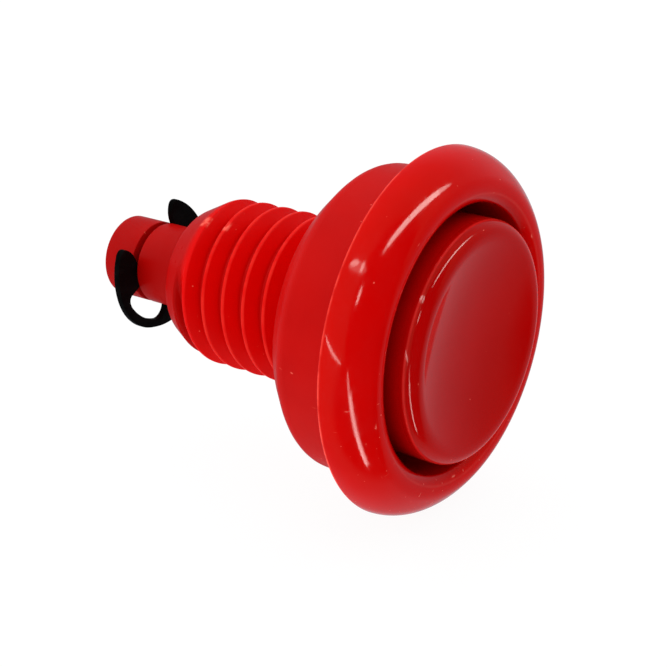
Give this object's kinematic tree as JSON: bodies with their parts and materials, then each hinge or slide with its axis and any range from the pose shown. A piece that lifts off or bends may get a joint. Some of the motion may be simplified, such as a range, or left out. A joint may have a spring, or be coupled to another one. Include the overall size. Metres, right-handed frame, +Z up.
{
  "type": "pinball flipper button",
  "caption": "Round panel push button with a bead flange, a dished button sliding on a long stem through a threaded barrel, and an E-ring that keeps the stem in.",
  "frame": {"origin": "on the button's axis at the flange's back face, the plane that seats on the panel", "axes": "+Y along the axis from the button's face towards the stem end, +Z up, the button's face looks along -Y"},
  "size_m": [0.0332, 0.0404, 0.0332],
  "materials": {
    "housing_red": "moulded red plastic, glossy flange bead, satin collar and thread",
    "plunger_red": "moulded red plastic, glossy dished face, satin stem",
    "spring_steel": "drawn spring wire, plain",
    "clip_black": "black phosphated spring steel"
  },
  "bodies": {
    "housing": {"housing": "housing_red", "return_spring": "spring_steel"},
    "plunger": {"plunger": "plunger_red", "retaining_clip": "clip_black"}
  },
  "joints": [
    {"name": "plunger_slide", "type": "slide", "parent": "housing", "child": "plunger", "axis": [0, 1, 0], "range_m": [-0.0057, 0.0042], "stiffness_N_per_m": 340, "deforming": ["return_spring"]}
  ]
}
